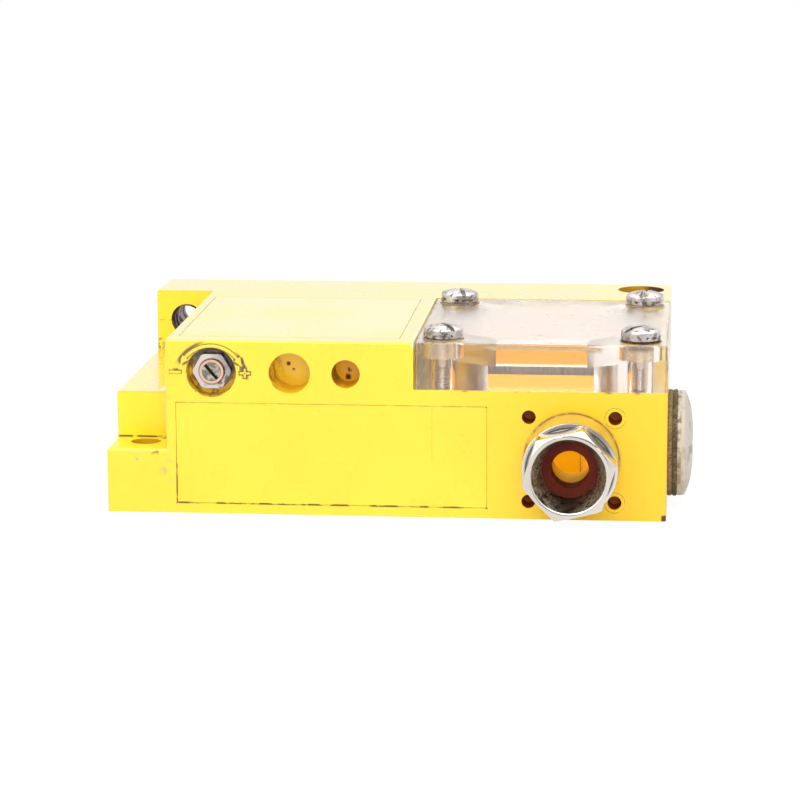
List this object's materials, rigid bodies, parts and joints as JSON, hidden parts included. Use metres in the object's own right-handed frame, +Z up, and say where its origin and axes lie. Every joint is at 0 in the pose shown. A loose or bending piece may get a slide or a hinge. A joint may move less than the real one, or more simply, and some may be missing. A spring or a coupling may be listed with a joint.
{
  "type": "inductive proximity sensor",
  "caption": "Block-shaped inductive proximity sensor with a clear screwed terminal cover, a cable gland, a blanking plug, a stepped mounting lug and a recessed sensitivity adjuster.",
  "frame": {"origin": "centre of the housing's base, on the mounting surface", "axes": "+X along the length towards the end with the blanking plug, -Y towards the front with the gland and the adjuster, +Z up through the cover"},
  "size_m": [0.1359, 0.1082, 0.0449],
  "materials": {
    "yellow_plastic": "moulded, glossy yellow",
    "plate_plastic": "moulded, glossy yellow",
    "label_film": "blank yellow film",
    "dark_steel": "blackened, rough",
    "clear_plastic": "clear, polished, faintly warm",
    "grey_rubber": "matt, ribbed",
    "screw_steel": "zinc plated, dull",
    "washer_steel": "zinc plated, dull",
    "amber_seal": "soft amber plastic",
    "brass": "turned",
    "nickel_brass": "nickel plated, worn",
    "ring_brass": "nickel plated",
    "red_rubber": "matt, dark red-brown",
    "plug_plastic": "moulded, off-white",
    "plug_fibre": "pressed fibre",
    "shaft_brass": "plated, grey-green",
    "bushing_brass": "turned, copper-coloured",
    "nut_nickel": "nickel plated",
    "black_plastic": "moulded, black",
    "track_laminate": "resin-bonded paper",
    "tinned_wire": "tinned",
    "lamp_window": "clear amber",
    "lamp_resin": "clear red resin",
    "ferrite": "sintered, dark grey",
    "former_plastic": "moulded",
    "copper": "enamelled copper wire",
    "board_laminate": "green glass-epoxy board",
    "can_aluminium": "sleeved can",
    "base_plastic": "moulded, orange-yellow",
    "block_plastic": "moulded, light grey",
    "clamp_steel": "zinc plated"
  },
  "bodies": {
    "housing": {"housing": "yellow_plastic", "front_plate": "plate_plastic", "label_plate": "label_film", "side_bush": "dark_steel", "terminal_cover": "clear_plastic", "cover_gasket": "grey_rubber", "cover_screws": "screw_steel", "lock_washers": "washer_steel", "screw_seals": "amber_seal", "screw_inserts": "brass", "gland_seal": "red_rubber", "blanking_plug": "plug_plastic", "plug_gasket": "plug_fibre", "pot_bushing": "bushing_brass", "pot_nut": "nut_nickel", "pot_washer": "washer_steel", "pot_body": "black_plastic", "pot_track": "track_laminate", "pot_leads": "tinned_wire", "led_window": "lamp_window", "status_led": "lamp_resin", "led_leads": "tinned_wire", "ferrite_core": "ferrite", "coil_former": "former_plastic", "coil_winding": "copper", "coil_leads": "copper", "circuit_board": "board_laminate", "board_screws": "screw_steel", "control_chip": "black_plastic", "capacitors": "can_aluminium", "output_transistor": "black_plastic", "terminal_base": "base_plastic", "terminal_block": "block_plastic", "wire_clamps": "clamp_steel", "terminal_screws": "screw_steel", "terminal_pins": "tinned_wire"},
    "adjuster": {"adjuster_shaft": "shaft_brass", "pot_wiper": "brass"},
    "gland_ring": {"gland_slip_ring": "ring_brass"},
    "gland_cap": {"gland_nut": "nickel_brass"}
  },
  "joints": [
    {"name": "adjuster_turn", "type": "hinge", "parent": "housing", "child": "adjuster", "pos_m": [-0.0402, -0.0447, 0.0334], "axis": [0, -1, 0], "range_deg": [-135, 135]},
    {"name": "gland_slide", "type": "slide", "parent": "housing", "child": "gland_ring", "axis": [0, -1, 0], "range_m": [0, 0.00282]},
    {"name": "gland_turn", "type": "hinge", "parent": "gland_ring", "child": "gland_cap", "pos_m": [0.0432, -0.05565, 0.0141], "axis": [0, -1, 0], "range_deg": [0, 720]}
  ],
  "couplings": [
    {"joint": "gland_slide", "follows": "gland_turn", "m_per_rad": 0.00022457}
  ]
}
